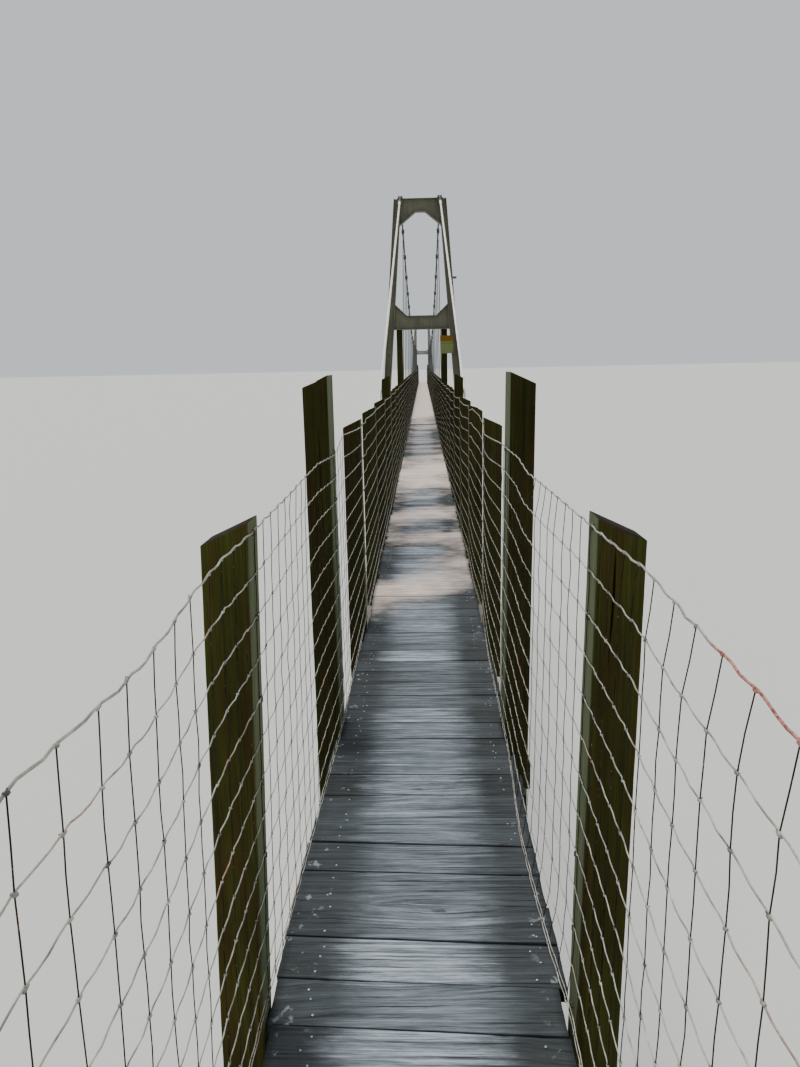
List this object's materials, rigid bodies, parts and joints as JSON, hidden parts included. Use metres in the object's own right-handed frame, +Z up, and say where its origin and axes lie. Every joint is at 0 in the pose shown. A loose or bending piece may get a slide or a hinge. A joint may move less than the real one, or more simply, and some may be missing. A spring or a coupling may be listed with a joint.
{
  "type": "suspension footbridge (1:2 scale model)",
  "caption": "1:2 scale model of a cable suspension footbridge: narrow plank walkway, timber posts with woven wire sides, two steel portal towers, hangers, backstays and trestle approaches.",
  "frame": {"origin": "on the ground, below the middle of the main span, on the centre line of the walkway", "axes": "+Y along the walkway from the near bank to the far bank, +X to the right of a walker who goes that way, +Z up"},
  "size_m": [1.5, 38.4, 4.1663],
  "materials": {
    "deck_planks": "weathered bare softwood planks, blue-grey, with dark gaps and splits",
    "post_timber": "pressure-treated timber gone dark olive-brown",
    "framing_timber": "weathered rough-sawn timber",
    "fence_wire": "galvanised woven wire, dull, a little rusty",
    "tower_steel": "old olive-brown paint on rolled steel, matt, weathered",
    "cable_strand": "galvanised steel strand, dull bright",
    "concrete": "plain weathered concrete",
    "sign_sheet": "painted sheet metal, orange band over a grey-green field, no text"
  },
  "bodies": {
    "root": {"near_deck": "deck_planks", "near_floor_frame": "framing_timber", "near_trestle_1": "post_timber", "near_trestle_2": "post_timber", "near_abutment": "concrete", "near_tower_pier": "concrete", "near_tower_top_beam": "tower_steel", "near_tower_portal_beam": "tower_steel", "near_tower_floor_beam": "tower_steel", "near_tower_left_leg": "tower_steel", "near_tower_left_saddle": "tower_steel", "near_left_portal_post": "post_timber", "near_left_railing": "post_timber", "near_left_backstay": "cable_strand", "near_left_anchor_block": "concrete", "near_tower_right_leg": "tower_steel", "near_tower_right_saddle": "tower_steel", "near_right_portal_post": "post_timber", "near_right_railing": "post_timber", "near_right_backstay": "cable_strand", "near_right_anchor_block": "concrete", "far_deck": "deck_planks", "far_floor_frame": "framing_timber", "far_trestle_1": "post_timber", "far_trestle_2": "post_timber", "far_abutment": "concrete", "far_tower_pier": "concrete", "far_tower_top_beam": "tower_steel", "far_tower_portal_beam": "tower_steel", "far_tower_floor_beam": "tower_steel", "far_tower_left_leg": "tower_steel", "far_tower_left_saddle": "tower_steel", "far_left_portal_post": "post_timber", "far_left_railing": "post_timber", "far_left_backstay": "cable_strand", "far_left_anchor_block": "concrete", "far_tower_right_leg": "tower_steel", "far_tower_right_saddle": "tower_steel", "far_right_portal_post": "post_timber", "far_right_railing": "post_timber", "far_right_backstay": "cable_strand", "far_right_anchor_block": "concrete", "main_deck": "deck_planks", "main_floor_frame": "framing_timber", "main_left_railing": "post_timber", "main_left_cable": "cable_strand", "main_right_railing": "post_timber", "main_right_cable": "cable_strand", "portal_sign": "sign_sheet"}
  },
  "joints": []
}
